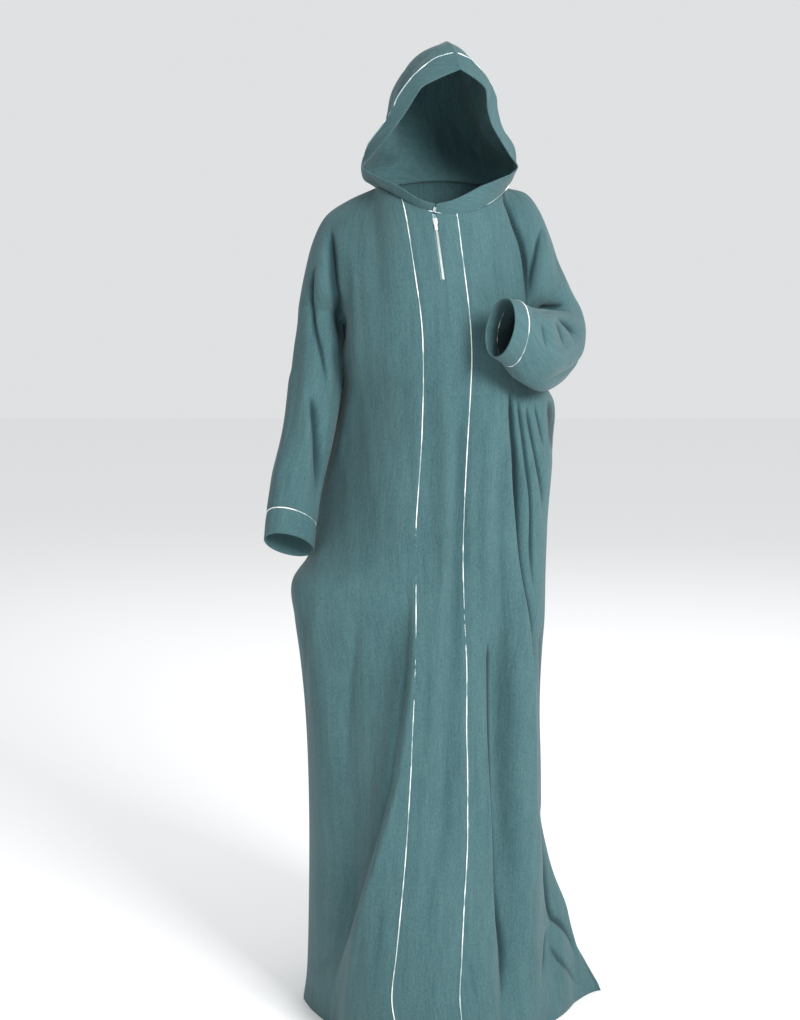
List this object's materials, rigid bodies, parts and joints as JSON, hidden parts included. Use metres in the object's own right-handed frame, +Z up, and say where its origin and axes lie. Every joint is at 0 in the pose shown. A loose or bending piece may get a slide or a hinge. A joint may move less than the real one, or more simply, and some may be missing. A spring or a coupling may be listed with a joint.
{
  "type": "hooded abaya",
  "caption": "Full-length hooded crinkle-crepe abaya with a silver-piped front panel, short front zip, wide sleeves with piped cuffs and a flared hem, in a worn, standing pose.",
  "frame": {"origin": "the base of the neck, where the garment's weight rests on the wearer's shoulders; the hem is 1.40 m below it", "axes": "+Z up, -Y the front, -X the wearer's right side"},
  "size_m": [0.5839, 0.4989, 1.6457],
  "materials": {
    "crepe": "matt crinkled crepe",
    "silver_cord": "gleaming silver corded piping",
    "zip_tape": "woven zip tape",
    "zip_metal": "silver-coloured metal"
  },
  "bodies": {
    "abaya": {"front_side_right": "crepe", "front_centre": "crepe", "front_side_left": "crepe", "back": "crepe", "sleeve_right": "crepe", "cuff_right": "crepe", "sleeve_left": "crepe", "cuff_left": "crepe", "hood_band_right": "crepe", "hood_right": "crepe", "hood_band_left": "crepe", "hood_left": "crepe", "piping_front_right": "silver_cord", "piping_front_left": "silver_cord", "piping_hood_right": "silver_cord", "piping_hood_left": "silver_cord", "piping_cuff_right": "silver_cord", "piping_cuff_left": "silver_cord", "zip_tape_right": "zip_tape", "zip_tape_left": "zip_tape", "zip_chain": "zip_metal", "zip_slider": "zip_metal"},
    "pull_tab": {"zip_pull_tab": "zip_metal"}
  },
  "joints": [
    {"name": "pull_tab_hinge", "type": "hinge", "parent": "abaya", "child": "pull_tab", "pos_m": [-0.00691, -0.12685, -0.04657], "axis": [-0.9903, -0.005, -0.139], "range_deg": [0, 150]}
  ]
}
